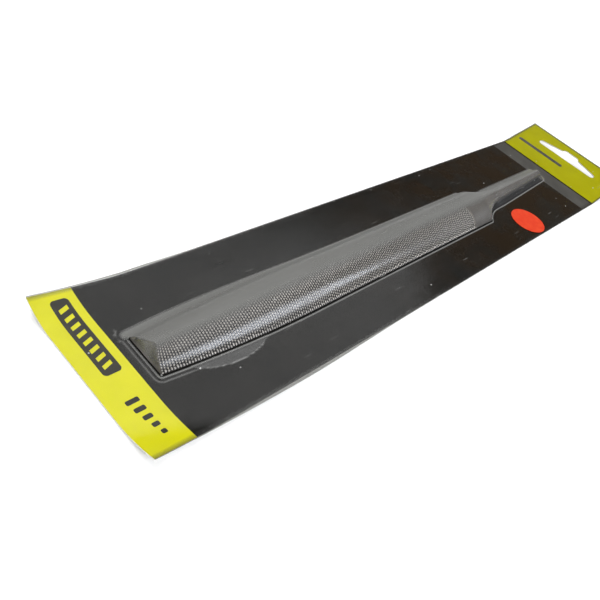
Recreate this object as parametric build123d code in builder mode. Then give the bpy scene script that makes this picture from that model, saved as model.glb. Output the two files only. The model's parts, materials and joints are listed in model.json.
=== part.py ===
"""Half-round wood rasp without a handle, skin-packed on a printed hang card.

The card lies on its back. +X runs along the card from the rasp's tip to the hanging header, +Y across the
card and +Z up, away from the card. The origin is on the resting surface, under the middle of the pack.
"""
from build123d import *
import math
import os

# ---- driving dimensions, in millimetres and degrees ----
CARD_WIDTH = 65.0
CARD_FLAT_LENGTH = 304.6
CARD_THICKNESS = 0.6
INK_THICKNESS = 0.1
FILM_THICKNESS = 0.15
FILM_OVERHANG = 1.2

HEADER_LENGTH = 35.4
HEADER_TILT = 11.0
HEADER_BEND_RADIUS = 15.0
CUTTER_HEIGHT = 30.0
SLOT_START = 20.6
SLOT_WIDTH = 40.0
SLOT_WING_HEIGHT = 4.2
SLOT_PEAK_WIDTH = 11.0
SLOT_PEAK_HEIGHT = 9.0
SLOT_CORNER_RADIUS = 2.0

TIP_BAND_LENGTH = 14.5
CURL_NEAR_LIFT = 4.1
CURL_FAR_LIFT = 4.4
CURL_NEAR_WIDTH = 17.5
CURL_FAR_WIDTH = 14.0
CURL_FAR_LENGTH = 34.0
CURL_NEAR_LENGTH = 110.0
CURL_STEEP_SHARE = 0.5
CURL_NEAR_POWER = 2.0
CURL_FAR_POWER = 1.3
CURL_STEP = 7.0
CURL_FADE_SPANS = 2

TIP_START = 19.8
TIP_WIDTH = 16.3
TIP_THICKNESS = 4.7
TIP_END_SLOPE = 60.0
BELLY_START = 85.0
BELLY_SPANS = 6
BLADE_WIDTH = 22.5
BLADE_THICKNESS = 6.3
BLADE_EDGE_LAND = 0.5
SHOULDER_START = 216.0
SHOULDER_POWER = 2.4
SHOULDER_SPANS = 6
TANG_START = 236.0
TANG_END = 290.0
TANG_ROOT_WIDTH = 7.6
TANG_END_WIDTH = 4.4
TANG_ROOT_THICKNESS = 5.0
TANG_END_THICKNESS = 3.2
TANG_LAND_SHARE = 0.6
TIP_CENTRE_Y = -0.7
BLADE_CENTRE_Y = -1.5
TANG_END_CENTRE_Y = 0.9

TENT_MARGIN = 1.3
TENT_TANG_MARGIN = 2.6
TENT_GAP = 0.3
TENT_LEAD = 2.4
TENT_TAIL = 4.0
ARCH_LEAN = 0.245
ARCH_PEAK_PULL = 4 / 3

BADGE_START = 5.5
BADGE_LENGTH = 6.2
BADGE_WIDTH = 31.0
BADGE_CENTRE_Y = 14.2
BADGE_CORNER_RADIUS = 1.4
MARK_COUNT = 5
MARK_START = 5.2
MARK_LENGTH = 4.4
MARK_WIDTH = 1.7
MARK_PITCH = 3.3
MARK_FIRST_Y = -25.4
MARK_CORNER_RADIUS = 0.5

STRIPE_START = 290.0
STRIPE_LENGTH = 13.0
HEADER_BAR_START = 11.7
HEADER_BAR_LENGTH = 2.4
HEADER_BAR_WIDTH = 32.0
HEADER_BAR_CENTRE_Y = 13.5

DOT_RADIUS = 9.35
DOT_THICKNESS = 0.12
DOT_FROM_TIP = 239.0
DOT_CENTRE_Y = -22.3

# ---- worked out from the driving dimensions ----
tilt = math.radians(HEADER_TILT)
header_straight = HEADER_LENGTH - HEADER_BEND_RADIUS * tilt
header_run = HEADER_BEND_RADIUS * math.sin(tilt) + header_straight * math.cos(tilt)
card_length = CARD_FLAT_LENGTH + header_run
card_start = -card_length / 2
bend_x = card_start + CARD_FLAT_LENGTH
ink_top = CARD_THICKNESS + INK_THICKNESS
film_top = ink_top + FILM_THICKNESS
film_half_width = CARD_WIDTH / 2 + FILM_OVERHANG


def along(distance):
    """X of a point at this distance from the tip end of the card."""
    return card_start + distance


def header_along(distance):
    """X of a point at this distance along the tilted header."""
    return bend_x + distance * math.cos(tilt)


# ---- the card's shape: flat, with both long edges curled up at the tip end ----
def near_lift(distance):
    """How far the near long edge stands up: a steep curl at the tip end that runs out slowly."""
    steep = max(0.0, 1 - distance / CURL_FAR_LENGTH) ** CURL_NEAR_POWER
    slow = max(0.0, 1 - distance / CURL_NEAR_LENGTH) ** CURL_NEAR_POWER
    return CURL_NEAR_LIFT * (CURL_STEEP_SHARE * steep + (1 - CURL_STEEP_SHARE) * slow)


def far_lift(distance):
    """How far the far long edge stands up at this distance from the tip end."""
    return CURL_FAR_LIFT * max(0.0, 1 - distance / CURL_FAR_LENGTH) ** CURL_FAR_POWER


def edge_curve(outer_y, curl_width, level, lift):
    """One curled edge of a cross-section: a parabola that reaches its lift at the card's own edge."""
    inner_y = math.copysign(CARD_WIDTH / 2 - curl_width, outer_y)
    rise = lift * ((outer_y - inner_y) / curl_width) ** 2
    Bezier((inner_y, level), ((inner_y + outer_y) / 2, level), (outer_y, level + rise))
    return rise


def arch_curve(near_foot, far_foot, level, rise):
    """The film's arch over the forging. It lies flat where rise is 0."""
    lean = ARCH_LEAN * (far_foot - near_foot)
    peak = level + rise * ARCH_PEAK_PULL
    Bezier((near_foot, level), (near_foot + lean, peak), (far_foot - lean, peak), (far_foot, level))


def card_section(distance, low, high, half_width, tent=None):
    """Cross-section of one card layer, with a raised arch in its middle where tent is given."""
    near_y = CURL_NEAR_WIDTH - CARD_WIDTH / 2
    far_y = CARD_WIDTH / 2 - CURL_FAR_WIDTH
    with BuildLine(Plane.YZ.offset(along(distance))) as outline:
        for level in (low, high):
            near_rise = edge_curve(-half_width, CURL_NEAR_WIDTH, level, near_lift(distance))
            far_rise = edge_curve(half_width, CURL_FAR_WIDTH, level, far_lift(distance))
            if tent is None:
                Line((near_y, level), (far_y, level))
                continue
            near_foot, far_foot, rise = tent
            Line((near_y, level), (near_foot, level))
            Line((far_foot, level), (far_y, level))
            arch_curve(near_foot, far_foot, level, rise)
        Line((-half_width, low + near_rise), (-half_width, high + near_rise))
        Line((half_width, low + far_rise), (half_width, high + far_rise))
    return Face(Wire(outline.edges()))


def card_layer(start, end, low, high):
    """Cross-sections of one layer of the flat and curled part of the card."""
    return [card_section(d, low, high, CARD_WIDTH / 2) for d in layer_stations if start <= d <= end]


def header_profile(low, high):
    """Side outline of one layer of the header: a short bend and a straight run."""
    with BuildSketch(Plane.XZ) as profile:
        with BuildLine():
            low_bend = JernArc((bend_x, low), (1, 0), HEADER_BEND_RADIUS - low, HEADER_TILT)
            low_run = PolarLine(low_bend @ 1, header_straight, HEADER_TILT)
            high_bend = JernArc((bend_x, high), (1, 0), HEADER_BEND_RADIUS - high, HEADER_TILT)
            high_run = PolarLine(high_bend @ 1, header_straight, HEADER_TILT)
            Line((bend_x, low), (bend_x, high))
            Line(low_run @ 1, high_run @ 1)
        make_face()
    return profile.sketch


def slot_outline():
    """Plan of the hanging slot: two wings with a rounded peak that points to the card's end."""
    with BuildSketch() as outline:
        with Locations((header_along(SLOT_START + SLOT_WING_HEIGHT / 2), 0)):
            SlotOverall(SLOT_WIDTH, SLOT_WING_HEIGHT, rotation=90)
        with Locations((header_along(SLOT_START + SLOT_PEAK_HEIGHT / 2), 0)):
            RectangleRounded(SLOT_PEAK_HEIGHT, SLOT_PEAK_WIDTH, SLOT_CORNER_RADIUS)
    return outline.sketch


def badge_outline():
    """Plan of the dark badge on the tip band."""
    with BuildSketch() as outline:
        with Locations((along(BADGE_START + BADGE_LENGTH / 2), BADGE_CENTRE_Y)):
            RectangleRounded(BADGE_LENGTH, BADGE_WIDTH, BADGE_CORNER_RADIUS)
    return outline.sketch


def marks_outline():
    """Plan of the row of small dark marks on the tip band."""
    with BuildSketch() as outline:
        for index in range(MARK_COUNT):
            with Locations((along(MARK_START + MARK_LENGTH / 2), MARK_FIRST_Y + index * MARK_PITCH)):
                RectangleRounded(MARK_LENGTH, MARK_WIDTH, MARK_CORNER_RADIUS)
    return outline.sketch


def stripe_outline():
    """Plan of the grey stripe across the card before the header."""
    with BuildSketch() as outline:
        with Locations((along(STRIPE_START + STRIPE_LENGTH / 2), 0)):
            Rectangle(STRIPE_LENGTH, CARD_WIDTH)
    return outline.sketch


def bar_outline():
    """Plan of the thin dark bar on the header."""
    with BuildSketch() as outline:
        with Locations((header_along(HEADER_BAR_START + HEADER_BAR_LENGTH / 2), HEADER_BAR_CENTRE_Y)):
            SlotOverall(HEADER_BAR_WIDTH, HEADER_BAR_LENGTH, rotation=90)
    return outline.sketch


# ---- the forging's shape ----
def between(start, end, position, low, high):
    """Straight change from low to high as position goes from start to end."""
    return low + (high - low) * (position - start) / (end - start)


def belly(distance):
    """0 at the tip, 1 where the blade reaches its full section, on a parabola."""
    short = max(0.0, BELLY_START - distance) / (BELLY_START - TIP_START)
    return 1 - short ** 2


def shoulder(distance):
    """1 at the end of the blade, 0 at the root of the tang, on a hollow curve."""
    return ((TANG_START - distance) / (TANG_START - SHOULDER_START)) ** SHOULDER_POWER


def forging_width(distance):
    """Full width of the forging at this distance from the tip end of the card."""
    if distance <= SHOULDER_START:
        return TIP_WIDTH + (BLADE_WIDTH - TIP_WIDTH) * belly(distance)
    if distance <= TANG_START:
        return TANG_ROOT_WIDTH + (BLADE_WIDTH - TANG_ROOT_WIDTH) * shoulder(distance)
    return between(TANG_START, TANG_END, distance, TANG_ROOT_WIDTH, TANG_END_WIDTH)


def forging_thickness(distance):
    """Height of the forging's crest above the print."""
    if distance <= SHOULDER_START:
        return TIP_THICKNESS + (BLADE_THICKNESS - TIP_THICKNESS) * belly(distance)
    if distance <= TANG_START:
        return between(SHOULDER_START, TANG_START, distance, BLADE_THICKNESS, TANG_ROOT_THICKNESS)
    return between(TANG_START, TANG_END, distance, TANG_ROOT_THICKNESS, TANG_END_THICKNESS)


def forging_land(distance):
    """Height of the upright side below the arch: thin on the blade, most of the height on the tang."""
    if distance <= SHOULDER_START:
        return BLADE_EDGE_LAND
    tang_land = TANG_LAND_SHARE * forging_thickness(distance)
    if distance <= TANG_START:
        return between(SHOULDER_START, TANG_START, distance, BLADE_EDGE_LAND, tang_land)
    return tang_land


def forging_centre(distance):
    """Y of the forging's centre line, which runs slightly askew of the card."""
    if distance <= SHOULDER_START:
        return TIP_CENTRE_Y + (BLADE_CENTRE_Y - TIP_CENTRE_Y) * belly(distance)
    return between(SHOULDER_START, TANG_END, distance, BLADE_CENTRE_Y, TANG_END_CENTRE_Y)


def forging_section(distance):
    """Half-round cross-section: a flat underside, two low upright sides and an arch."""
    half = forging_width(distance) / 2
    centre = forging_centre(distance)
    side_top = ink_top + forging_land(distance)
    crest = ink_top + forging_thickness(distance)
    with BuildLine(Plane.YZ.offset(along(distance))) as outline:
        Line((centre - half, ink_top), (centre + half, ink_top))
        Line((centre + half, ink_top), (centre + half, side_top))
        ThreePointArc((centre + half, side_top), (centre, crest), (centre - half, side_top))
        Line((centre - half, side_top), (centre - half, ink_top))
    return Face(Wire(outline.edges()))


def evenly(start, end, spans):
    """Distances that divide a stretch into equal spans, without its end."""
    return [start + (end - start) * index / spans for index in range(spans)]


blade_stations = [*evenly(TIP_START, BELLY_START, BELLY_SPANS), BELLY_START, SHOULDER_START]
shoulder_stations = evenly(SHOULDER_START, TANG_START, SHOULDER_SPANS)[1:]
forging_stations = [*blade_stations, *shoulder_stations, TANG_START, TANG_END]


# ---- where the card's layers get a cross-section, the same for all of them ----
crest_start = TIP_START + TIP_THICKNESS / math.tan(math.radians(TIP_END_SLOPE)) - TENT_GAP
arch_start = TIP_START - TENT_LEAD
arch_end = TANG_END + TENT_TAIL
curl_fade = evenly(BELLY_START, CURL_NEAR_LENGTH, CURL_FADE_SPANS)
curl_stations = [0, CURL_STEP, TIP_BAND_LENGTH, *curl_fade, CURL_NEAR_LENGTH]
film_stations = [arch_start, crest_start, *forging_stations[1:], arch_end, CARD_FLAT_LENGTH]
layer_stations = sorted({*curl_stations, CURL_FAR_LENGTH, *film_stations})


# ---- the film's arch over the forging ----
def tent_margin(distance):
    """How far outside the forging the film comes down to the card."""
    if distance <= SHOULDER_START:
        return TENT_MARGIN
    if distance <= TANG_START:
        return between(SHOULDER_START, TANG_START, distance, TENT_MARGIN, TENT_TANG_MARGIN)
    return TENT_TANG_MARGIN


def tent_at(distance, scale=1.0):
    """Feet and rise of the film's arch."""
    half = forging_width(distance) / 2 + tent_margin(distance)
    centre = forging_centre(distance)
    return centre - half, centre + half, scale * (forging_thickness(distance) + TENT_GAP)


def film_sections():
    """Cross-sections of the film, flat at both ends and arched from the tip to the end of the tang."""
    sections = []
    for d in layer_stations:
        flat = not crest_start <= d <= TANG_END
        nearest = min(max(d, TIP_START), TANG_END)
        tent = tent_at(nearest, 0 if flat else 1)
        sections.append(card_section(d, ink_top, film_top, film_half_width, tent))
    return sections


# ---- rasp: blade, shoulder and tang in one forging, curved face up ----
with BuildPart() as rasp_blade:
    loft([forging_section(d) for d in forging_stations], ruled=True)
    end_slope = math.radians(TIP_END_SLOPE)
    split(bisect_by=Plane(origin=(along(TIP_START), 0, ink_top),
                          z_dir=(math.sin(end_slope), 0, -math.cos(end_slope))), keep=Keep.TOP)

# ---- card: one board with a curled tip end and a tilted header with the hanging slot ----
with BuildPart() as card_board:
    loft(card_layer(0, CARD_FLAT_LENGTH, 0, CARD_THICKNESS), ruled=True)
    extrude(header_profile(0, CARD_THICKNESS), amount=CARD_WIDTH / 2, both=True)
    extrude(slot_outline(), amount=CUTTER_HEIGHT, mode=Mode.SUBTRACT)

# ---- printing: each colour is a thin layer on the card's face ----
with BuildPart() as print_tip_band:
    loft(card_layer(0, TIP_BAND_LENGTH, CARD_THICKNESS, ink_top), ruled=True)
    extrude(badge_outline(), amount=CUTTER_HEIGHT, mode=Mode.SUBTRACT)
    extrude(marks_outline(), amount=CUTTER_HEIGHT, mode=Mode.SUBTRACT)

with BuildPart() as print_tip_badge:
    loft(card_layer(0, TIP_BAND_LENGTH, CARD_THICKNESS, ink_top), ruled=True)
    extrude(badge_outline(), amount=CUTTER_HEIGHT, mode=Mode.INTERSECT)

with BuildPart() as print_size_marks:
    loft(card_layer(0, TIP_BAND_LENGTH, CARD_THICKNESS, ink_top), ruled=True)
    extrude(marks_outline(), amount=CUTTER_HEIGHT, mode=Mode.INTERSECT)

with BuildPart() as print_black_field:
    loft(card_layer(TIP_BAND_LENGTH, CARD_FLAT_LENGTH, CARD_THICKNESS, ink_top), ruled=True)
    extrude(stripe_outline(), amount=CUTTER_HEIGHT, mode=Mode.SUBTRACT)

with BuildPart() as print_header_stripe:
    with BuildSketch(Plane.XY.offset(CARD_THICKNESS)):
        add(stripe_outline())
    extrude(amount=INK_THICKNESS)

with BuildPart() as print_header:
    extrude(header_profile(CARD_THICKNESS, ink_top), amount=CARD_WIDTH / 2, both=True)
    extrude(slot_outline(), amount=CUTTER_HEIGHT, mode=Mode.SUBTRACT)
    extrude(bar_outline(), amount=CUTTER_HEIGHT, mode=Mode.SUBTRACT)

with BuildPart() as print_header_bar:
    extrude(header_profile(CARD_THICKNESS, ink_top), amount=CARD_WIDTH / 2, both=True)
    extrude(bar_outline(), amount=CUTTER_HEIGHT, mode=Mode.INTERSECT)

# ---- film: one clear sheet over the whole card, drawn down around the rasp ----
with BuildPart() as skin_film:
    loft(film_sections(), ruled=True)
    extrude(header_profile(ink_top, film_top), amount=film_half_width, both=True)
    extrude(slot_outline(), amount=CUTTER_HEIGHT, mode=Mode.SUBTRACT)

# ---- round price dot stuck on the film ----
with BuildPart() as price_dot:
    with BuildSketch(Plane.XY.offset(film_top)):
        with Locations((along(DOT_FROM_TIP), DOT_CENTRE_Y)):
            Circle(DOT_RADIUS)
    extrude(amount=DOT_THICKNESS)

# ---- write each piece under its own name ----
pieces = {
    "rasp_blade": rasp_blade,
    "card_board": card_board,
    "print_tip_band": print_tip_band,
    "print_tip_badge": print_tip_badge,
    "print_size_marks": print_size_marks,
    "print_black_field": print_black_field,
    "print_header_stripe": print_header_stripe,
    "print_header": print_header,
    "print_header_bar": print_header_bar,
    "skin_film": skin_film,
    "price_dot": price_dot,
}
os.makedirs("parts", exist_ok=True)
for name, piece in pieces.items():
    piece.part.label = name
    export_step(piece.part, f"parts/{name}.step")
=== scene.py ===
import json
import math
import random

import bmesh
import bpy
import numpy as np
from mathutils import Matrix, Vector, geometry, noise


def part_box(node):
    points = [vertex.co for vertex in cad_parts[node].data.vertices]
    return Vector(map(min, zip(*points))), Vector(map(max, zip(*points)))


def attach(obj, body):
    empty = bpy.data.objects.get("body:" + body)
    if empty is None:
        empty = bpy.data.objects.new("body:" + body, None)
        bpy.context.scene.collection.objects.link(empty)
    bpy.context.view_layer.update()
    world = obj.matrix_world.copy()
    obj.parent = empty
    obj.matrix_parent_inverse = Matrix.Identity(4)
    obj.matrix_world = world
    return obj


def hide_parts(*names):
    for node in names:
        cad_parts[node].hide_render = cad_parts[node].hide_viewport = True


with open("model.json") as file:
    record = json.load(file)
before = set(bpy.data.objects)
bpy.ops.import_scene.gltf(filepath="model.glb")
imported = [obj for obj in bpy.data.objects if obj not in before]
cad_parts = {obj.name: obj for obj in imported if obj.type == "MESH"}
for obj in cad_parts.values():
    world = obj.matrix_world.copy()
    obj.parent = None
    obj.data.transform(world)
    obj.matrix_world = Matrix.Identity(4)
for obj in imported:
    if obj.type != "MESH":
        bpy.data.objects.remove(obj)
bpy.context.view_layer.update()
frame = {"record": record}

MM = 0.001

# ---- sizes read from the frame, in metres ----
card_low, card_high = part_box("card_board")
rasp_low, rasp_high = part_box("rasp_blade")
badge_low, badge_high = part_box("print_tip_badge")
marks_low, marks_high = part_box("print_size_marks")
stripe_low, stripe_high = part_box("print_header_stripe")
bar_low, bar_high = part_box("print_header_bar")
dot_low, dot_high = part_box("price_dot")
mounts = {m["name"]: m for m in frame["record"]["mounts"]}
START = card_low.x
END = card_high.x
HALF = card_high.y
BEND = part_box("print_header")[0].x
BAND_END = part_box("print_tip_band")[1].x
INK_TOP = rasp_low.z
TILT = math.atan2(-mounts["hang_slot"]["axis"][0], mounts["hang_slot"]["axis"][2])
SLOT_CENTRE = mounts["hang_slot"]["pos_m"][0]

# ---- the card's shape ----
BOARD = 0.6 * MM
BEND_RADIUS = 15 * MM
NEAR_LIFT = 4.1 * MM
FAR_LIFT = 4.4 * MM
NEAR_CURL_WIDTH = 17.5 * MM
FAR_CURL_WIDTH = 14 * MM
NEAR_CURL_LENGTH = 110 * MM
FAR_CURL_LENGTH = 34 * MM

# ---- the forging's shape ----
TIP = rasp_low.x
TANG_END = rasp_high.x
BELLY = START + 85 * MM
SHOULDER = START + 216 * MM
TANG = START + 236 * MM
TEETH_END = START + 200 * MM
TIP_WIDTH = 16.3 * MM
BLADE_WIDTH = rasp_high.y - rasp_low.y
TANG_ROOT_WIDTH = 7.6 * MM
TANG_END_WIDTH = 4.4 * MM
TIP_THICK = 4.7 * MM
BLADE_THICK = rasp_high.z - rasp_low.z
TANG_ROOT_THICK = 5.0 * MM
TANG_END_THICK = 3.2 * MM
EDGE_LAND = 0.5 * MM
TANG_LAND_SHARE = 0.6
TIP_CENTRE = -0.7 * MM
BLADE_CENTRE = (rasp_low.y + rasp_high.y) / 2
TANG_CENTRE = 0.9 * MM


def base_height(x, y):
    """Height of the card's underside: flat, curled up along both edges at the tip, tilted at the header."""
    s = x - START
    steep = np.clip(1 - s / FAR_CURL_LENGTH, 0, None)
    slow = np.clip(1 - s / NEAR_CURL_LENGTH, 0, None)
    near = NEAR_LIFT * (0.5 * steep ** 2 + 0.5 * slow ** 2)
    far = FAR_LIFT * steep ** 1.3
    near_share = np.clip((NEAR_CURL_WIDTH - HALF - y) / NEAR_CURL_WIDTH, 0, None)
    far_share = np.clip((y - HALF + FAR_CURL_WIDTH) / FAR_CURL_WIDTH, 0, None)
    t = np.clip(x - BEND, 0, None)
    arc = np.clip(t, 0, BEND_RADIUS * math.sin(TILT))
    header = BEND_RADIUS - np.sqrt(BEND_RADIUS ** 2 - arc ** 2) + (t - arc) * math.tan(TILT)
    return near * near_share ** 2 + far * far_share ** 2 + header


def ease(x, low, high):
    """0 below low, 1 above high, with a smooth change between them."""
    t = np.clip((x - low) / (high - low), 0, 1)
    return t * t * (3 - 2 * t)


def belly(x):
    return 1 - np.clip((BELLY - x) / (BELLY - TIP), 0, 1) ** 2


def along_forging(x, tip, blade, root, end, power):
    """A size along the forging: on a parabola to the blade, across the shoulder, straight down the tang."""
    body = tip + (blade - tip) * belly(x)
    fall = np.clip((TANG - x) / (TANG - SHOULDER), 0, 1) ** power
    tang = root + (end - root) * np.clip((x - TANG) / (TANG_END - TANG), 0, 1)
    return np.where(x <= SHOULDER, body, np.where(x <= TANG, root + (blade - root) * fall, tang))


def width_at(x):
    return along_forging(x, TIP_WIDTH, BLADE_WIDTH, TANG_ROOT_WIDTH, TANG_END_WIDTH, 2.4)


def thick_at(x):
    return along_forging(x, TIP_THICK, BLADE_THICK, TANG_ROOT_THICK, TANG_END_THICK, 1)


def land_at(x):
    root = TANG_LAND_SHARE * TANG_ROOT_THICK
    end = TANG_LAND_SHARE * TANG_END_THICK
    return along_forging(x, EDGE_LAND, EDGE_LAND, root, end, 1)


def centre_at(x):
    body = TIP_CENTRE + (BLADE_CENTRE - TIP_CENTRE) * belly(x)
    tang = BLADE_CENTRE + (TANG_CENTRE - BLADE_CENTRE) * (x - SHOULDER) / (TANG_END - SHOULDER)
    return np.where(x <= SHOULDER, body, tang)


def arch_point(x, share):
    """Point of the half-round face: share runs from 0 at the near edge to 1 at the far edge."""
    half = width_at(x) / 2
    rise = thick_at(x) - land_at(x)
    radius = (half ** 2 + rise ** 2) / (2 * rise)
    angle = np.arcsin(np.clip(half / radius, -1, 1)) * (2 * share - 1)
    y = centre_at(x) + radius * np.sin(angle)
    z = INK_TOP + thick_at(x) - radius * (1 - np.cos(angle))
    return y, z, angle


# ---- mesh helpers ----
def add_mesh(name, verts, faces, material, sharp_degrees=30):
    """A new object from its points and faces, smooth but for edges sharper than the given angle."""
    mesh = bpy.data.meshes.new(name)
    mesh.from_pydata([tuple(v) for v in verts], [], [tuple(f) for f in faces])
    mesh.validate()
    bm = bmesh.new()
    bm.from_mesh(mesh)
    bmesh.ops.recalc_face_normals(bm, faces=bm.faces)
    bm.to_mesh(mesh)
    bm.free()
    mesh.shade_smooth()
    mesh.set_sharp_from_angle(angle=math.radians(sharp_degrees))
    mesh.materials.append(material)
    piece = bpy.data.objects.new(name, mesh)
    bpy.context.scene.collection.objects.link(piece)
    return piece


def grid_faces(rows, columns, first=0, closed=False):
    """Quads of a grid of points stored row by row."""
    last = columns if closed else columns - 1
    return [
        (first + r * columns + c, first + r * columns + (c + 1) % columns,
         first + (r + 1) * columns + (c + 1) % columns, first + (r + 1) * columns + c)
        for r in range(rows - 1) for c in range(last)
    ]


def inside(points, loop):
    """Which points lie inside a closed outline."""
    x, y = points[:, 0], points[:, 1]
    hit = np.zeros(len(points), bool)
    for (ax, ay), (bx, by) in zip(loop, np.roll(loop, -1, axis=0)):
        if ay == by:
            continue
        crosses = (ay > y) != (by > y)
        hit ^= crosses & (x < (bx - ax) * (y - ay) / (by - ay) + ax)
    return hit


def resample(loop, step):
    """The same closed outline with points no further apart than step."""
    points = []
    for a, b in zip(loop, np.roll(loop, -1, axis=0)):
        count = max(1, math.ceil(np.hypot(*(b - a)) / step))
        points += [a + (b - a) * k / count for k in range(count)]
    return np.array(points)


def rounded_rectangle(low_x, high_x, low_y, high_y, radius, turns=6):
    """Outline of a rectangle with round corners."""
    points = []
    corners = [(high_x - radius, high_y - radius, 0), (low_x + radius, high_y - radius, 90),
               (low_x + radius, low_y + radius, 180), (high_x - radius, low_y + radius, 270)]
    for cx, cy, turn in corners:
        for k in range(turns + 1):
            angle = math.radians(turn + 90 * k / turns)
            points.append((cx + radius * math.cos(angle), cy + radius * math.sin(angle)))
    return np.array(points)


def layer(name, outline, holes, low, high, material, step=2.5 * MM, height=base_height):
    """A thin closed piece that follows the card, from its plan outline, holes, and low and high offsets."""
    outline = resample(outline, step)
    holes = [resample(h, step) for h in holes]
    loops = [outline, *holes]
    inner_x = np.arange(outline[:, 0].min() + step / 2, outline[:, 0].max(), step)
    inner_y = np.arange(outline[:, 1].min() + step / 2, outline[:, 1].max(), step / 2)
    inner = np.array([(x, y) for x in inner_x for y in inner_y])
    keep = inside(inner, outline)
    for hole in holes:
        keep &= ~inside(inner, hole)
    rim = np.vstack(loops)
    gaps = np.sqrt(((inner[:, None] - rim[None]) ** 2).sum(2)).min(1) if len(inner) else np.zeros(0)
    inner = inner[keep & (gaps > step / 4)]
    points = np.vstack([rim, inner])
    edges, first = [], 0
    for loop in loops:
        n = len(loop)
        edges += [(first + k, first + (k + 1) % n) for k in range(n)]
        first += n
    plan, _, faces = geometry.delaunay_2d_cdt([Vector(p) for p in points], edges, [], 0, 1e-7)[:3]
    plan = np.array([tuple(p) for p in plan])
    faces = np.array([tuple(f) for f in faces])
    middles = plan[faces].mean(1)
    keep = inside(middles, outline)
    for hole in holes:
        keep &= ~inside(middles, hole)
    faces = faces[keep]
    level = height(plan[:, 0], plan[:, 1])
    count = len(plan)
    verts = np.vstack([np.column_stack([plan, level + high]), np.column_stack([plan, level + low])])
    sides = {}
    for f in faces:
        for a, b in ((f[0], f[1]), (f[1], f[2]), (f[2], f[0])):
            sides[(a, b)] = True
    walls = [(a, b, b + count, a + count) for a, b in sides if (b, a) not in sides]
    shell = [tuple(f) for f in faces] + [tuple(f[::-1] + count) for f in faces] + walls
    return add_mesh(name, verts, shell, material)


def place(piece, slot, *nodes):
    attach(piece, "root")
    if nodes:
        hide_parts(*nodes)


# ---- materials ----
def new_material(name):
    material = bpy.data.materials.new(name)
    material.use_nodes = True
    tree = material.node_tree
    return material, tree, tree.nodes["Principled BSDF"]


def node(tree, kind, inputs=None, **settings):
    """A shader node with its settings, and its inputs set to values or linked from sockets."""
    made = tree.nodes.new(kind)
    for key, value in settings.items():
        setattr(made, key, value)
    for key, value in (inputs or {}).items():
        if isinstance(value, bpy.types.NodeSocket):
            tree.links.new(value, made.inputs[key])
        else:
            made.inputs[key].default_value = value
    return made


def noise_of(tree, scale, detail=4, stretch=(1, 1, 1), roughness=0.55):
    """Noise in the object's own coordinates, in features per metre."""
    where = node(tree, "ShaderNodeTexCoord")
    mapping = node(tree, "ShaderNodeMapping", {"Vector": where.outputs["Object"], "Scale": stretch})
    made = node(tree, "ShaderNodeTexNoise", {"Vector": mapping.outputs["Vector"], "Scale": scale,
                                             "Detail": detail, "Roughness": roughness})
    return made.outputs["Fac"]


def remap(tree, value, low, high, to_low, to_high):
    made = node(tree, "ShaderNodeMapRange", {"Value": value, "From Min": low, "From Max": high,
                                             "To Min": to_low, "To Max": to_high})
    return made.outputs["Result"]


def maths(tree, operation, first, second, clamp=False):
    made = node(tree, "ShaderNodeMath", {0: first, 1: second}, operation=operation, use_clamp=clamp)
    return made.outputs[0]


def blend_colour(tree, share, first, second):
    made = tree.nodes.new("ShaderNodeMix")
    made.data_type = "RGBA"
    for index, value in ((0, share), (6, first), (7, second)):
        if isinstance(value, bpy.types.NodeSocket):
            tree.links.new(value, made.inputs[index])
        else:
            made.inputs[index].default_value = value if index == 0 else (*value, 1)
    return made.outputs[2]


def bump_of(tree, height, distance, strength=1.0):
    made = node(tree, "ShaderNodeBump", {"Height": height, "Distance": distance, "Strength": strength})
    return made.outputs["Normal"]


# Painted shade on the black ink's far end: clouds turn browner and less glossy towards the header, standing
# in for dimmer light and weaker reflection there.
FAR_PAINTED_SHADE_COAT = 0.4
FAR_PAINTED_SHADE_START = -60 * MM
FAR_PAINTED_SHADE_FULL = 40 * MM


def ink_material(name, colour, shade, bonded=True, gloss=1.5, far_painted_shade=None):
    """Mottled ink over paper fibre, glossy under bonded film, with painted shade towards the header: clouds
    there turn browner and less glossy when a far colour is given.
    """
    material, tree, bsdf = new_material(name)
    mottle = noise_of(tree, 90, 5)
    grain = noise_of(tree, 2200, 3, (1, 2, 1))
    smear = noise_of(tree, 45, 5, (0.5, 1.6, 1))
    scuff = noise_of(tree, 260, 4, (0.25, 2.5, 1), 0.65)
    share = remap(tree, mottle, 0.35, 0.7, 0, 1)
    mixed = blend_colour(tree, share, colour, shade)
    if far_painted_shade:
        # painted shade: a browner colour and a weaker coat in clouds towards the header
        where = node(tree, "ShaderNodeTexCoord")
        parts = node(tree, "ShaderNodeSeparateXYZ", {"Vector": where.outputs["Object"]})
        cloud = remap(tree, noise_of(tree, 38, 4), 0.36, 0.56, 0, 1)
        along = remap(tree, parts.outputs["X"], FAR_PAINTED_SHADE_START, FAR_PAINTED_SHADE_FULL, 0, 1)
        far = maths(tree, "MULTIPLY", cloud, along)
        mixed = blend_colour(tree, far, mixed, far_painted_shade)
        tree.links.new(remap(tree, far, 0, 1, 1.0, FAR_PAINTED_SHADE_COAT), bsdf.inputs["Coat Weight"])
    tree.links.new(mixed, bsdf.inputs["Base Color"])
    tree.links.new(remap(tree, grain, 0.3, 0.7, 0.6, 0.8), bsdf.inputs["Roughness"])
    tree.links.new(bump_of(tree, grain, 0.000004), bsdf.inputs["Normal"])
    bsdf.inputs["Specular IOR Level"].default_value = 0.05
    if bonded:
        bsdf.inputs["Coat Weight"].default_value = 1.0
        bsdf.inputs["Coat IOR"].default_value = gloss
        rough = maths(tree, "MULTIPLY_ADD", remap(tree, scuff, 0.45, 0.8, 0, 1), 0.1)
        tree.links.new(remap(tree, smear, 0.3, 0.75, 0.1, 0.22), rough.node.inputs[2])
        tree.links.new(rough, bsdf.inputs["Coat Roughness"])
        tree.links.new(bump_of(tree, smear, 0.0002, 0.6), bsdf.inputs["Coat Normal"])
    return material


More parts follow.
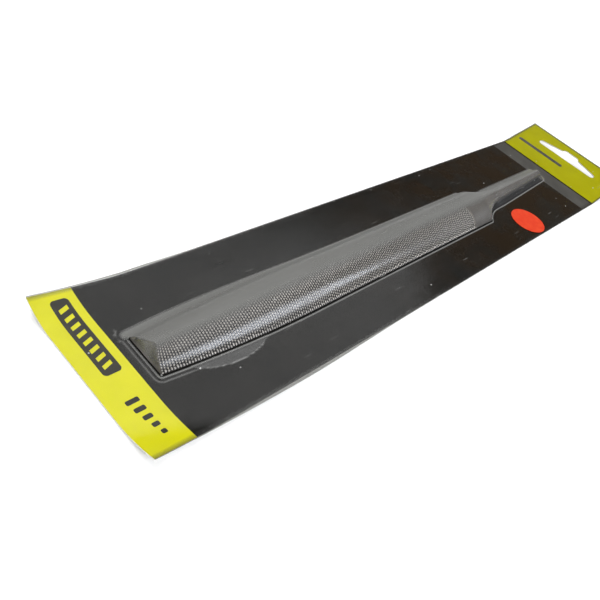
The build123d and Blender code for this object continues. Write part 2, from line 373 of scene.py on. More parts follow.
def board_material():
    """Grey-white card stock with visible fibre."""
    material, tree, bsdf = new_material("card_stock")
    fibre = noise_of(tree, 900, 6, (1, 3, 3), 0.7)
    cloud = noise_of(tree, 60, 3)
    fibres = remap(tree, fibre, 0.3, 0.75, 0, 1)
    share = maths(tree, "MULTIPLY", fibres, remap(tree, cloud, 0.3, 0.7, 0.5, 1))
    colour = blend_colour(tree, share, (0.80, 0.79, 0.75), (0.62, 0.60, 0.55))
    tree.links.new(colour, bsdf.inputs["Base Color"])
    tree.links.new(bump_of(tree, fibre, 0.00004), bsdf.inputs["Normal"])
    bsdf.inputs["Roughness"].default_value = 0.85
    return material


PLAIN_TONE = -1.0


def steel_material():
    """Steel with painted shade in the tooth hollows, painted highlights on the tooth points, fine grinding
    marks, and its own tone where uncut.
    """
    material, tree, bsdf = new_material("rasp_steel")
    height = node(tree, "ShaderNodeAttribute", attribute_name="tooth").outputs["Fac"]
    grind = noise_of(tree, 700, 5, (0.15, 3, 3), 0.7)
    cloud = noise_of(tree, 120, 4)
    clouded = remap(tree, cloud, 0.35, 0.7, 0, 1)
    plain = blend_colour(tree, clouded, (0.78, 0.745, 0.695), (0.88, 0.835, 0.775))
    # painted shade: tooth hollows darkened nearly to black
    hollow_painted_shade = blend_colour(tree, remap(tree, height, 0.05, 0.55, 0, 1), (0.016, 0.015, 0.015), plain)
    point = remap(tree, height, 0.6, 0.95, 0, 1)
    # painted highlight: tooth points lighter and bluish-white
    teeth = blend_colour(tree, point, hollow_painted_shade, (0.95, 0.95, 0.97))
    bare = blend_colour(tree, clouded, (0.15, 0.138, 0.122), (0.19, 0.176, 0.158))
    untoothed = maths(tree, "LESS_THAN", height, PLAIN_TONE / 2)
    tree.links.new(blend_colour(tree, untoothed, teeth, bare), bsdf.inputs["Base Color"])
    bsdf.inputs["Metallic"].default_value = 0.6
    rough = maths(tree, "MULTIPLY_ADD", point, -0.22)
    tree.links.new(remap(tree, grind, 0.3, 0.7, 0.42, 0.55), rough.node.inputs[2])
    tree.links.new(rough, bsdf.inputs["Roughness"])
    tree.links.new(bump_of(tree, grind, 0.00003), bsdf.inputs["Normal"])
    return material


def flecks(tree, where, scale, turn, radius, rarity, strength):
    """Strength of scattered flecks at each place, from their density, slant, size, rarity and peak."""
    mapping = node(tree, "ShaderNodeMapping", {"Vector": where.outputs["Object"], "Scale": scale,
                                               "Rotation": (0, 0, math.radians(turn))})
    cells = node(tree, "ShaderNodeTexVoronoi", {"Vector": mapping.outputs["Vector"], "Scale": 1.0},
                 voronoi_dimensions="2D")
    pick = node(tree, "ShaderNodeSeparateColor", {"Color": cells.outputs["Color"]})
    near = maths(tree, "LESS_THAN", cells.outputs["Distance"], radius)
    rare = maths(tree, "GREATER_THAN", pick.outputs["Red"], rarity)
    here = maths(tree, "MULTIPLY", near, rare)
    return maths(tree, "MULTIPLY", here, remap(tree, pick.outputs["Green"], 0, 1, 0, strength))


HEAD_ON_MIRROR = 0.04
RIM_MIRROR = 0.12
# Strength of the painted highlight lines along the film's creases.
CREASE_PAINTED_HIGHLIGHT = 0.3


def film_material():
    """Clear film: mirrors at a slant where loose, with a painted sheen over the far flank and end face,
    painted highlight lines along its creases, dust and duller cut edges.
    """
    material, tree, bsdf = new_material("clear_film")
    smear = noise_of(tree, 45, 5, (0.5, 1.6, 1))
    scuff = noise_of(tree, 260, 4, (0.25, 2.5, 1), 0.65)
    loose = node(tree, "ShaderNodeAttribute", attribute_name="loose").outputs["Fac"]
    rim = node(tree, "ShaderNodeAttribute", attribute_name="rim").outputs["Fac"]
    slant = node(tree, "ShaderNodeLayerWeight", {"Blend": 0.5}).outputs["Facing"]
    mirror = maths(tree, "MULTIPLY_ADD", maths(tree, "POWER", slant, 5.0), 1 - HEAD_ON_MIRROR)
    mirror.node.inputs[2].default_value = HEAD_ON_MIRROR
    shine = maths(tree, "MULTIPLY", mirror, loose)
    haze = maths(tree, "MULTIPLY", remap(tree, scuff, 0.55, 0.85, 0.0, 0.04), loose)
    edge = maths(tree, "MULTIPLY_ADD", rim, RIM_MIRROR)
    tree.links.new(haze, edge.node.inputs[2])
    share = maths(tree, "ADD", shine, edge, clamp=True)
    bsdf.inputs["Base Color"].default_value = (0.92, 0.92, 0.92, 1)
    bsdf.inputs["Metallic"].default_value = 0.85
    tree.links.new(remap(tree, smear, 0.3, 0.75, 0.16, 0.28), bsdf.inputs["Roughness"])
    tree.links.new(bump_of(tree, smear, 0.0001, 0.5), bsdf.inputs["Normal"])
    tint = blend_colour(tree, rim, (0.97, 0.97, 0.97), (0.60, 0.60, 0.58))
    clear = node(tree, "ShaderNodeBsdfTransparent", {"Color": tint})
    mix = node(tree, "ShaderNodeMixShader", {0: share, 1: clear.outputs[0], 2: bsdf.outputs[0]})
    where = node(tree, "ShaderNodeTexCoord")
    # painted highlight: light grey lines along the film's foot ridges and the air pocket's rim, mixed with
    # real dust specks and hairs
    crease_highlight = node(tree, "ShaderNodeAttribute", attribute_name="crease_highlight").outputs["Fac"]
    specks = flecks(tree, where, (80, 80, 1), 0, 0.022, 0.8, 0.7)
    hairs = flecks(tree, where, (40, 800, 1), 38, 0.09, 0.93, 0.13)
    painted_crease_highlight = maths(tree, "MULTIPLY", crease_highlight, CREASE_PAINTED_HIGHLIGHT)
    dust_and_painted_highlight = maths(tree, "MAXIMUM", painted_crease_highlight, maths(tree, "MAXIMUM", specks, hairs))
    # painted sheen: a grey diffuse layer over the far flank and end face, standing in for the film's grazing
    # reflection there
    painted_sheen = node(tree, "ShaderNodeAttribute", attribute_name="painted_sheen").outputs["Fac"]
    painted_sheen_share = maths(tree, "MULTIPLY", painted_sheen, remap(tree, smear, 0.3, 0.75, 0.55, 0.72))
    grey = node(tree, "ShaderNodeBsdfDiffuse", {"Color": (0.20, 0.20, 0.19, 1)})
    painted_sheen_mix = node(tree, "ShaderNodeMixShader", {0: painted_sheen_share, 1: mix.outputs[0], 2: grey.outputs[0]})
    dust_and_highlight = node(tree, "ShaderNodeBsdfDiffuse", {"Color": (0.60, 0.60, 0.58, 1)})
    dust_and_highlight_mix = node(tree, "ShaderNodeMixShader", {0: dust_and_painted_highlight, 1: painted_sheen_mix.outputs[0], 2: dust_and_highlight.outputs[0]})
    tree.links.new(dust_and_highlight_mix.outputs[0], tree.nodes["Material Output"].inputs["Surface"])
    return material


def dot_material():
    """Coated fluorescent label paper."""
    material, tree, bsdf = new_material("dot_paper")
    cloud = noise_of(tree, 350, 4)
    share = remap(tree, cloud, 0.35, 0.75, 0, 1)
    colour = blend_colour(tree, share, (0.58, 0.030, 0.008), (0.64, 0.06, 0.016))
    tree.links.new(colour, bsdf.inputs["Base Color"])
    tree.links.new(bump_of(tree, cloud, 0.00002), bsdf.inputs["Normal"])
    bsdf.inputs["Roughness"].default_value = 0.32
    return material


STEEL = steel_material()
FILM = film_material()
BOARD_STOCK = board_material()
YELLOW = ink_material("yellow_ink", (0.61, 0.585, 0.004), (0.56, 0.54, 0.004))
# Painted shade: a darker, less glossy copy of the yellow ink, used on the header.
HEADER_YELLOW_PAINTED_SHADE = ink_material("header_yellow_ink_painted_shade", (0.325, 0.312, 0.001), (0.29, 0.278, 0.001), gloss=1.08)
# The black ink carries painted shade at its far end, towards the header.
BLACK = ink_material("black_ink", (0.007, 0.007, 0.006), (0.011, 0.0105, 0.009),
                     far_painted_shade=(0.016, 0.010, 0.005))
# Black ink inside the film's tent: the missing coat is real, as the film is loose there; the darker colour is
# painted shadow in the gap beside the rasp.
BLACK_UNBONDED_PAINTED_SHADE = ink_material("black_ink_unbonded_painted_shade", (0.003, 0.003, 0.003), (0.006, 0.005, 0.004), bonded=False)
# Painted sheen: a lighter, glossier copy of the black ink under the air pocket, standing in for the loose
# film's reflection there.
BLACK_POCKET_PAINTED_SHEEN = ink_material("black_ink_pocket_painted_sheen", (0.020, 0.020, 0.019), (0.030, 0.030, 0.028), gloss=1.95)
DARK = ink_material("dark_ink", (0.018, 0.018, 0.012), (0.028, 0.027, 0.018))
GREY = ink_material("grey_ink", (0.055, 0.055, 0.052), (0.075, 0.075, 0.07))
DOT_PAPER = dot_material()


# ---- rasp: the forging with its teeth ----
TOOTH_PITCH = 1.05 * MM
TOOTH_ROWS = 22
TOOTH_HEIGHT = 0.55 * MM
TOOTH_ALONG = ((0.0, 0.0), (0.14, 0.02), (0.34, 1.0), (0.6, 0.5), (0.82, 0.14))
TOOTH_ACROSS = ((0.0, 0.0), (0.24, 0.62), (0.5, 1.0), (0.76, 0.62))
TIP_SHEAR_END = TIP + 8 * MM
TIP_CROWN = 3.4 * MM
TIP_ROWS = 7
# The end face's value in the tooth blend, which mixes in part of the hollows' painted shade.
END_TONE = 0.32


def forging_rings():
    """Places along the forging: (x, share of the tooth height there, tooth column or None)."""
    columns = round((TEETH_END - TIP) / TOOTH_PITCH)
    pitch = (TEETH_END - TIP) / columns
    rings = [(TIP, 1.0, None), (TIP + 0.05 * MM, 1.0, None)]
    rings += [(TIP + (k + a + 0.1) * pitch, h, k) for k in range(columns) for a, h in TOOTH_ALONG]
    rings += [(TEETH_END, 0.0, None), (TEETH_END + 0.5 * MM, 1.0, None)]
    plain = [*np.linspace(TEETH_END + 2 * MM, SHOULDER - 1 * MM, 7), SHOULDER - 0.3 * MM]
    plain += [*np.linspace(SHOULDER, TANG, 26), *np.linspace(TANG, TANG_END, 22)[1:]]
    return rings + [(x, 1.0, None) for x in plain]


def build_rasp():
    draw = random.Random(7)
    across = [(k + b, h) for k in range(TOOTH_ROWS) for b, h in TOOTH_ACROSS] + [(TOOTH_ROWS, 0.0)]
    slots = np.array([a for a, _ in across])
    crown = np.array([h for _, h in across])
    edge_fade = np.clip(np.minimum(slots, TOOTH_ROWS - slots), 0, 1)
    drift = {}
    verts, tooth, rings = [], [], forging_rings()
    for x, height, column in rings:
        if column is None:
            offset, lift = 0.0, np.full(len(slots), height)
        else:
            if column not in drift:
                jitter = [draw.uniform(0.8, 1.0) for _ in range(TOOTH_ROWS + 1)]
                drift[column] = (0.5 * (column % 2) + 0.07 * (column % 7) + draw.uniform(-0.06, 0.06), jitter)
            offset, jitter = drift[column]
            lift = height * crown * np.array([jitter[min(int(a), TOOTH_ROWS)] for a in slots])
        share = (slots + (offset - 0.45) * edge_fade) / TOOTH_ROWS
        y, z, angle = arch_point(np.full(len(slots), x), share)
        sink = TOOTH_HEIGHT * (1 - lift)
        half, centre = float(width_at(x)) / 2, float(centre_at(x))
        y = y - sink * np.sin(angle) * edge_fade
        z = z - sink * np.cos(angle) * np.clip(edge_fade + 0.25, 0, 1)
        floor_z = np.full(2, INK_TOP)
        ring_y = np.concatenate([y, [centre + half, centre - half]])
        ring_z = np.concatenate([np.maximum(z, INK_TOP + 0.1 * MM), floor_z])
        spread = np.clip(np.abs(ring_y - centre) / half, 0, 1)
        face_x = TIP + TIP_CROWN * (1 - spread) ** 2 * (ring_z > INK_TOP)
        squeeze = (TIP_SHEAR_END - face_x) / (TIP_SHEAR_END - TIP)
        ring_x = np.where(x < TIP_SHEAR_END, face_x + (x - TIP) * squeeze, x)
        verts.append(np.column_stack([ring_x, ring_y, ring_z]))
        tooth += list(lift if column is not None else np.full(len(slots), PLAIN_TONE)) + [PLAIN_TONE] * 2
    size = len(slots) + 2
    arch = verts[0][:len(slots)]
    rises = np.linspace(0, 1, TIP_ROWS)
    end_foot = np.column_stack([np.full(len(slots), TIP), arch[:, 1], np.full(len(slots), INK_TOP)])
    end_rows = [end_foot + (arch - end_foot) * rise for rise in rises]
    verts = np.vstack(verts)
    faces = grid_faces(len(rings), size, closed=True) + [tuple(range(len(verts) - size, len(verts)))]
    faces += grid_faces(TIP_ROWS, len(slots), len(verts))
    verts = np.vstack([verts, *end_rows])
    tooth += [END_TONE] * (TIP_ROWS * len(slots))
    rasp = add_mesh("rasp_forging", verts, faces, STEEL, 28)
    attribute = rasp.data.attributes.new("tooth", "FLOAT", "POINT")
    attribute.data.foreach_set("value", np.array(tooth, np.float32))
    place(rasp, "rasp_steel", "rasp_blade")


build_rasp()


# ---- where the film stands off the card ----
FILM_GAP = 0.12 * MM
FILM_LOW = INK_TOP + 0.05 * MM
FILM_THICK = 0.08 * MM
FOOT = 1.1 * MM
TANG_FOOT = 3.6 * MM
FAR_SWELL = 2.6 * MM
FAR_SWELL_LENGTH = 60 * MM
POCKET_START = START + 29 * MM
POCKET_END = START + 60 * MM
POCKET_DEPTH = 5.5 * MM
POCKET_RISE = 0.3 * MM
# Painted highlight lines along the creases at the film's foot and the air pocket's rim:
POCKET_RIM_HIGHLIGHT = 0.45
NEAR_CREASE_HIGHLIGHT = 0.6
FAR_CREASE_HIGHLIGHT = 0.15
# Painted sheen over the tent's far flank and the end face:
PAINTED_SHEEN_START = -0.32
PAINTED_SHEEN_FULL = 0.12
END_PAINTED_SHEEN = 0.5
END_LOOSE = 1.6
END_LEAD = 0.25 * MM
END_RUN = 0.35 * MM
END_FOOT = 0.3 * MM
RIDGE_SHINE = 0.6
RIDGE = 0.13 * MM
RIDGE_WIDTH = 0.25 * MM
OUTER_GAP = 1.5 * MM
# The second outline is a raised ridge and also carries a painted highlight line.
OUTER_LINE = 0.3
OUTER_FADE = START + 26 * MM
OUTER_END = START + 36 * MM
NEAR_OVERHANG = (0.25 * MM, 0.95 * MM, START + 62 * MM, 34 * MM)
FAR_OVERHANG = (0.2 * MM, 0.7 * MM, START + 36 * MM, 18 * MM)
RIPPLE = 0.03 * MM
RIPPLE_ALONG = 60
RIPPLE_ACROSS = 260
BONDED_RIPPLE_SHARE = 0.3
BLADE_WALL_POWER = 2
TANG_WALL_POWER = 1.1
# How fast the painted sheen fades out down the tent's far wall.
PAINTED_SHEEN_FADE = 0.2
SHINE_FADE = 0.3


def foot_at(x, far=0.0):
    """How far from the forging the film comes down to the card, wider near the tip where far is 1."""
    swell = far * FAR_SWELL * np.exp(-(np.maximum(x - TIP, 0) / FAR_SWELL_LENGTH) ** 2)
    return FOOT + swell + (TANG_FOOT - FOOT) * ease(x, SHOULDER, TANG)


def overhang_at(x, side):
    """How far the film stands out past a long edge: its least, plus a bulge with a middle and a spread."""
    least, bulge, middle, spread = NEAR_OVERHANG if side < 0 else FAR_OVERHANG
    return least + bulge * math.exp(-((x - middle) / spread) ** 2)


def pocket_at(x, gap):
    """Share of the air pocket beside the near edge, from 0 outside it to 1 inside."""
    span = np.clip((x - POCKET_START) / (POCKET_END - POCKET_START), 0, 1)
    reach = POCKET_DEPTH * np.sqrt(np.clip(np.sin(math.pi * span), 0, 1))
    return 1 - ease(gap, reach - 0.35 * MM, reach + 0.05 * MM)


def tent_outline():
    """Plan outline of the film's tent over the rasp."""
    near, far = [], []
    for x in np.linspace(TIP - 1.5 * MM, stripe_low.x - 0.2 * MM, 150):
        inner = min(max(x, TIP), TANG_END)
        half = float(width_at(inner)) / 2
        centre = float(centre_at(inner))
        near.append((x, centre - half - float(foot_at(inner))))
        far.append((x, centre + half + float(foot_at(inner, 1.0))))
    return np.array(near + far[::-1])


def pocket_outline():
    """Plan outline of the air pocket beside the near edge, open to the tent."""
    inner, outer = [], []
    for span in np.linspace(0.04, 0.96, 36):
        x = POCKET_START + (POCKET_END - POCKET_START) * span
        edge = float(centre_at(x)) - float(width_at(x)) / 2
        foot = float(foot_at(x))
        depth = max(POCKET_DEPTH * math.sqrt(math.sin(math.pi * span)) - 0.2 * MM, foot + 0.1 * MM)
        inner.append((x, edge - foot - 0.02 * MM))
        outer.append((x, edge - depth))
    return np.array(outer + inner[::-1])


# ---- card and printing ----
SLOT_WING_WIDTH = 40 * MM
SLOT_WING_HEIGHT = 4.2 * MM
SLOT_PEAK_WIDTH = 11 * MM
SLOT_PEAK_HEIGHT = 9 * MM
SLOT_LOW = SLOT_CENTRE - SLOT_PEAK_HEIGHT / 2 * math.cos(TILT)


def slot_outline(turns=8):
    """The hanging slot: a bar with round ends and a rounded peak towards the card's end."""
    points = []
    low, wing, peak = SLOT_LOW, SLOT_WING_HEIGHT, SLOT_PEAK_HEIGHT
    radius, corner = wing / 2, 2 * MM
    for k in range(turns + 1):
        angle = math.pi * k / turns
        points.append((low + radius - radius * math.cos(angle),
                       SLOT_WING_WIDTH / 2 - radius + radius * math.sin(angle)))
    for k in range(turns // 2 + 1):
        angle = math.pi / 2 * k / (turns // 2)
        points.append((low + peak - corner + corner * math.sin(angle),
                       SLOT_PEAK_WIDTH / 2 - corner + corner * math.cos(angle)))
    points += [(x, -y) for x, y in reversed(points)]
    return np.array(points)


def rectangle(low_x, high_x, low_y=-HALF, high_y=HALF):
    return np.array([(low_x, low_y), (high_x, low_y), (high_x, high_y), (low_x, high_y)])


SLOT = slot_outline()
BADGE = rounded_rectangle(badge_low.x, badge_high.x, badge_low.y, badge_high.y, 1.4 * MM)
BAR = rounded_rectangle(bar_low.x, bar_high.x, bar_low.y, bar_high.y, (bar_high.x - bar_low.x) / 2 - 1e-6)
INK_LOW = BOARD + 0.01 * MM
BADGE_BARS = 8
BAR_MARGIN = 3.6 * MM
BADGE_BAR_HEIGHT = 3.3 * MM
BADGE_BAR_THICK = 1.5 * MM
BADGE_BAR_LEAN = 1.1 * MM


def badge_bars():
    """Slanted bars in a row along the badge."""
    middle = (badge_low.x + badge_high.x) / 2
    first, last = badge_low.y + BAR_MARGIN, badge_high.y - BAR_MARGIN
    bars = []
    for y in np.linspace(first, last, BADGE_BARS):
        low, high = y - BADGE_BAR_LEAN / 2, y + BADGE_BAR_LEAN / 2
        left, right = middle - BADGE_BAR_HEIGHT / 2, middle + BADGE_BAR_HEIGHT / 2
        thick = BADGE_BAR_THICK / 2
        bars.append(np.array([(left, low - thick), (right, high - thick),
                              (right, high + thick), (left, low + thick)]))
    return bars


MARKS = 5
MARK_WIDTH = 1.7 * MM
mark_step = (marks_high.y - marks_low.y - MARK_WIDTH) / (MARKS - 1)
mark_size = marks_high.x - marks_low.x
mark_outlines = [
    rounded_rectangle(marks_high.x - mark_size * (0.4 + 0.15 * k), marks_high.x, marks_low.y + k * mark_step,
                      marks_low.y + k * mark_step + MARK_WIDTH, 0.5 * MM)
    for k in range(MARKS)
]


def build_card():
    board = layer("card", rectangle(START, END), [SLOT], 0, BOARD, BOARD_STOCK, 3 * MM)
    place(board, "card_stock", "card_board")
    band = layer("tip_band", rectangle(START, BAND_END), [BADGE, *mark_outlines], INK_LOW, INK_TOP, YELLOW)
    place(band, "yellow_ink", "print_tip_band")
    bars = badge_bars()
    badge = layer("tip_badge", BADGE, bars, INK_LOW, INK_TOP, DARK, 1.5 * MM)
    place(badge, "dark_ink", "print_tip_badge")
    for index, outline in enumerate(bars):
        mark = layer(f"tip_badge_bar_{index + 1}", outline, [], INK_LOW, INK_TOP, YELLOW, 1 * MM)
        place(mark, "yellow_ink", "print_tip_badge")
    for index, outline in enumerate(mark_outlines):
        mark = layer(f"size_mark_{index + 1}", outline, [], INK_LOW, INK_TOP, DARK, 1 * MM)
        place(mark, "dark_ink", "print_size_marks")
    tent, pocket = tent_outline(), pocket_outline()
    field = layer("black_field", rectangle(BAND_END, stripe_low.x), [tent, pocket], INK_LOW, INK_TOP,
                  BLACK, 3 * MM)
    place(field, "black_ink", "print_black_field")
    # painted shadow in the gap between the rasp and the film's foot
    under = layer("black_field_under_rasp_painted_shade", tent, [], INK_LOW, INK_TOP, BLACK_UNBONDED_PAINTED_SHADE, 3 * MM)
    place(under, "black_ink", "print_black_field")
    # painted sheen of the loose film over the air pocket
    airy = layer("black_field_air_pocket", pocket, [], INK_LOW, INK_TOP, BLACK_POCKET_PAINTED_SHEEN, 2 * MM)
    place(airy, "black_ink", "print_black_field")
    edge = layer("field_edge", rectangle(stripe_high.x, BEND), [], INK_LOW, INK_TOP, BLACK)
    place(edge, "black_ink", "print_black_field")
    stripe = layer("header_stripe", rectangle(stripe_low.x, stripe_high.x), [], INK_LOW, INK_TOP, GREY)
    place(stripe, "grey_ink", "print_header_stripe")
    header = layer("header", rectangle(BEND, END), [SLOT, BAR], INK_LOW, INK_TOP, HEADER_YELLOW_PAINTED_SHADE)
    place(header, "yellow_ink", "print_header")
    bar = layer("header_bar", BAR, [], INK_LOW, INK_TOP, DARK)
    place(bar, "dark_ink", "print_header_bar")


build_card()


# ---- film ----
FILM_LOOKS = ("loose", "crease_highlight", "painted_sheen")


def film_point(x, y):
    """Height of the film's lower face at a place, and its loose, painted crease highlight and painted sheen
    values there.
    """
    half, centre = float(width_at(x)) / 2, float(centre_at(x))
    flat = float(base_height(np.float64(x), np.float64(y))) + FILM_LOW
    out_y = abs(y - centre) - half
    out_x = max(TIP - x, x - TANG_END)
    near_x = min(max(x, TIP), TANG_END)
    edge = INK_TOP + float(land_at(near_x)) + FILM_GAP
    gap = math.hypot(max(out_y, 0), max(out_x, 0))
    sideways = max(out_y, 0) / gap if gap else 1.0
    far = sideways if y > centre else 0.0
    foot = float(foot_at(x, far))
    ripple = noise.noise(Vector((x * RIPPLE_ALONG, y * RIPPLE_ACROSS, 3))) * RIPPLE
    if gap == 0:
        rise = float(thick_at(x) - land_at(x))
        radius = (half ** 2 + rise ** 2) / (2 * rise)
        top = INK_TOP + float(thick_at(x)) - radius + math.sqrt(radius ** 2 - (y - centre) ** 2)
        crown = TIP_CROWN * (1 - min(abs(y - centre) / half, 1)) ** 2
        climb = (x - TIP + END_LEAD) / max(crown, END_RUN)
        face = INK_TOP + END_FOOT + (top - INK_TOP) * min(1.0, climb)
        if face < top:
            return face + FILM_GAP, END_LOOSE, 0.0, END_PAINTED_SHEEN
        painted_sheen = float(ease(y - centre, PAINTED_SHEEN_START * half, PAINTED_SHEEN_FULL * half))
        return top + FILM_GAP + abs(ripple), 1.0, 0.0, painted_sheen
    fall = max(0.0, 1 - gap / foot)
    over_tang = float(ease(np.float64(x), SHOULDER, TANG))
    power = BLADE_WALL_POWER + (TANG_WALL_POWER - BLADE_WALL_POWER) * over_tang
    height = flat + max(0.0, edge - flat) * fall ** power
    ridge = math.exp(-((gap - foot) / RIDGE_WIDTH) ** 2)
    outer = OUTER_LINE * math.exp(-((gap - foot - OUTER_GAP) / RIDGE_WIDTH) ** 2)
    outer *= float(ease(-x, -OUTER_END, -OUTER_FADE))
    height += RIDGE * (ridge + outer)
    wall = 1.0 if y > centre + half else over_tang
    painted_sheen = far * float(ease(np.float64(fall), 0.0, PAINTED_SHEEN_FADE))
    wall *= float(ease(np.float64(fall), 0.0, SHINE_FADE))
    loose = max(wall, RIDGE_SHINE * ridge, RIDGE_SHINE * outer)
    # painted highlight along the foot ridges and the second outline
    crease_highlight = max(ridge * NEAR_CREASE_HIGHLIGHT if y < centre + half else ridge * FAR_CREASE_HIGHLIGHT, outer)
    if y < centre and x > TIP:
        pocket = float(pocket_at(x, gap))
        height = max(height, flat + POCKET_RISE * pocket)
        crease_highlight = max(crease_highlight, POCKET_RIM_HIGHLIGHT * 4 * pocket * (1 - pocket))
    return height + ripple * BONDED_RIPPLE_SHARE, loose, crease_highlight, painted_sheen


def film_rows():
    """Places along the film, from spans with their own steps in millimetres."""
    spans = [(START, BAND_END, 2), (BAND_END, TIP - 3 * MM, 1), (TIP - 3 * MM, TIP + 5 * MM, 0.3),
             (TIP + 5 * MM, START + 62 * MM, 0.8), (START + 62 * MM, TEETH_END, 1.6), (TEETH_END, TANG, 1),
             (TANG, TANG_END - 2 * MM, 2), (TANG_END - 2 * MM, TANG_END + 4 * MM, 0.5),
             (TANG_END + 4 * MM, BEND, 1.5)]
    rows = []
    for low, high, step in spans:
        count = max(1, round((high - low) / (step * MM)))
        rows += [low + (high - low) * k / count for k in range(count)]
    return rows + [BEND]


def film_columns(x):
    """Places across the film at x, packed closer along the forging's edges and the film's feet."""
    half, centre = float(width_at(x)) / 2, float(centre_at(x))
    foot = float(foot_at(x))
    far_foot = float(foot_at(x, 1.0))
    near_rim = -HALF - overhang_at(x, -1)
    far_rim = HALF + overhang_at(x, 1)
    near_foot_y = centre - half - foot
    far_foot_y = centre + half + far_foot
    marks = [near_rim, -HALF, near_foot_y - 6 * MM, near_foot_y - 0.6 * MM, near_foot_y + 0.6 * MM,
             centre - half, centre + half, far_foot_y - 0.6 * MM, far_foot_y + 0.6 * MM, HALF, far_rim]
    counts = [2, 9, 12, 8, 6, 32, 6, 8, 14, 2]
    columns = []
    for low, high, count in zip(marks, marks[1:], counts):
        columns += [low + (high - low) * k / count for k in range(count)]
    return columns + [far_rim]


def build_film():
    rows = film_rows()
    verts, looks = [], []
    for x in rows:
        for y in film_columns(x):
            z, *marks = film_point(x, y)
            verts.append((x, y, z))
            looks.append(marks)
    width = len(film_columns(rows[0]))
    faces = grid_faces(len(rows), width)
    verts = np.array(verts)
    last_row = verts[-width:]
    # the header's part of the film, with the hanging slot
    rim = np.vstack([last_row[:, :2], [(END, last_row[-1, 1])], [(END, last_row[0, 1])]])
    slot = resample(SLOT, 2 * MM)
    inner = np.array([(x, y) for x in np.arange(BEND + 1 * MM, END, 2 * MM)
                      for y in np.arange(-HALF + 1 * MM, HALF, 2.5 * MM)])
    gaps = np.sqrt(((inner[:, None] - slot[None]) ** 2).sum(2)).min(1)
    inner = inner[~inside(inner, slot) & (gaps > 0.7 * MM)]
    points = np.vstack([rim, slot, inner])
    n, m = len(rim), len(slot)
    edges = [(k, (k + 1) % n) for k in range(n)] + [(n + k, n + (k + 1) % m) for k in range(m)]
    plan, _, tris = geometry.delaunay_2d_cdt([Vector(p) for p in points], edges, [], 0, 1e-7)[:3]
    plan = np.array([tuple(p) for p in plan])
    tris = np.array([tuple(t) for t in tris])
    middles = plan[tris].mean(1)
    tris = tris[inside(middles, rim) & ~inside(middles, slot)]
    first = len(verts)
    header = np.column_stack([plan, base_height(plan[:, 0], plan[:, 1]) + FILM_LOW])
    verts = np.vstack([verts, header])
    looks += [(0.0, 0.0, 0.0)] * len(header)
    faces += [tuple(t + first) for t in tris]
    flat = bmesh.new()
    made = [flat.verts.new(v) for v in verts]
    for f in faces:
        flat.faces.new([made[k] for k in f])
    keys = [flat.verts.layers.float.new(name) for name in FILM_LOOKS]
    flat.verts.ensure_lookup_table()
    for v, values in zip(flat.verts, looks):
        for key, value in zip(keys, values):
            v[key] = value
    bmesh.ops.remove_doubles(flat, verts=flat.verts, dist=0.004 * MM)
    flat.verts.index_update()
    low = np.array([v.co[:] for v in flat.verts])
    looks = [[v[key] for v in flat.verts] for key in keys]
    tris = [tuple(v.index for v in f.verts) for f in flat.faces]
    rims = [(e.verts[0].index, e.verts[1].index) for e in flat.edges if e.is_boundary]
    flat.free()
    count = len(low)
    walls = [(p, q, q + count, p + count) for p, q in rims]
    shell = tris + [tuple(k + count for k in reversed(t)) for t in tris] + walls
    film = add_mesh("film", np.vstack([low, low + np.array([0, 0, FILM_THICK])]), shell, FILM, 40)
    for name, values in zip(FILM_LOOKS, looks):
        attribute = film.data.attributes.new(name, "FLOAT", "POINT")
        attribute.data.foreach_set("value", np.array(values + values, np.float32))
    outside = ease(np.abs(low[:, 1]), HALF - 0.1 * MM, HALF + 0.1 * MM)
    attribute = film.data.attributes.new("rim", "FLOAT", "POINT")
    attribute.data.foreach_set("value", np.concatenate([outside, outside]).astype(np.float32))
    place(film, "clear_film", "skin_film")


build_film()


# ---- price dot ----
def build_dot():
    centre = (dot_low + dot_high) / 2
    radius = (dot_high.x - dot_low.x) / 2
    rim = np.array([(centre.x + radius * math.cos(a), centre.y + radius * math.sin(a))
                    for a in np.linspace(0, 2 * math.pi, 73)[:-1]])
    bottom = INK_TOP + 0.14 * MM

    def height(x, y):
        away = np.hypot(x - centre.x, y - centre.y) / radius
        return base_height(x, y) + 0.05 * MM * away ** 6

    dot = layer("price_sticker", rim, [], bottom, bottom + 0.1 * MM, DOT_PAPER, 1.2 * MM, height)
    place(dot, "dot_paper", "price_dot")


build_dot()


# ---- stage, light and camera ----
def build_stage():
    bpy.ops.mesh.primitive_plane_add(size=6, location=(0, 0, -0.00005))
    floor = bpy.context.active_object
    floor.name = "floor"
    material, tree, bsdf = new_material("floor")
    bsdf.inputs["Base Color"].default_value = (0.93, 0.93, 0.93, 1)
    bsdf.inputs["Roughness"].default_value = 0.9
    floor.data.materials.append(material)


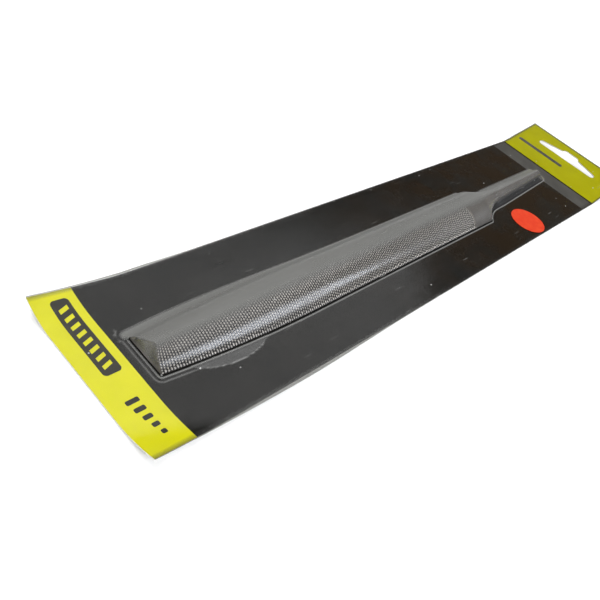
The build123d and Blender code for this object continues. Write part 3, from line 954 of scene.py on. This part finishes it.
def area_light(name, azimuth, elevation, distance, size, radiance, colour=(1, 1, 1), mirrored=True):
    """A soft light at an azimuth from +X and an elevation, aimed at the middle of the pack."""
    light = bpy.data.lights.new(name, "AREA")
    light.shape = "RECTANGLE"
    light.size, light.size_y = size
    light.energy = 4 * size[0] * size[1] * radiance
    light.color = colour
    lamp = bpy.data.objects.new(name, light)
    a, e = math.radians(azimuth), math.radians(elevation)
    away = Vector((math.cos(a) * math.cos(e), math.sin(a) * math.cos(e), math.sin(e)))
    lamp.location = away * distance
    lamp.rotation_mode = "QUATERNION"
    lamp.rotation_quaternion = away.to_track_quat("Z", "Y")
    lamp.visible_glossy = mirrored
    bpy.context.scene.collection.objects.link(lamp)


def build_lights():
    world = bpy.data.worlds.new("studio")
    world.use_nodes = True
    world.node_tree.nodes["Background"].inputs["Color"].default_value = (1, 1, 1, 1)
    world.node_tree.nodes["Background"].inputs["Strength"].default_value = 0.035
    bpy.context.scene.world = world
    area_light("key", 60, 62, 1.6, (1.6, 1.6), 1.7, mirrored=False)
    area_light("fill", 225, 48, 1.5, (1.0, 1.0), 3.9)
    area_light("overhead", 60, 71, 1.6, (2.4, 2.0), 0.8)
    area_light("backdrop", 62, 14, 1.8, (1.3, 0.8), 0.22, (1.0, 0.98, 0.93))
    area_light("window", -52, 38, 1.3, (0.8, 0.42), 4.8, (0.86, 0.91, 1.0))
    area_light("far_wall", 8, 18, 1.8, (0.9, 0.5), 0.08, (1.0, 0.7, 0.42))


def build_camera():
    camera = bpy.data.cameras.new("camera")
    camera.lens = 37.66
    camera.sensor_width = 36
    camera.shift_y = 20 / 600
    camera.clip_start = 0.01
    eye = bpy.data.objects.new("camera", camera)
    forward = Vector((0.6443, 0.3529, -0.6785))
    right = Vector((0.6811, -0.6682, 0.2992))
    up = right.cross(forward)
    turn = Matrix((right, up, -forward)).transposed()
    eye.rotation_mode = "QUATERNION"
    eye.rotation_quaternion = turn.to_quaternion()
    eye.location = Vector((START - 66.6 * MM, -HALF - 58.9 * MM, INK_TOP + 149.9 * MM))
    bpy.context.scene.collection.objects.link(eye)
    bpy.context.scene.camera = eye


build_stage()
build_lights()
build_camera()
bpy.context.scene.view_settings.view_transform = "Standard"
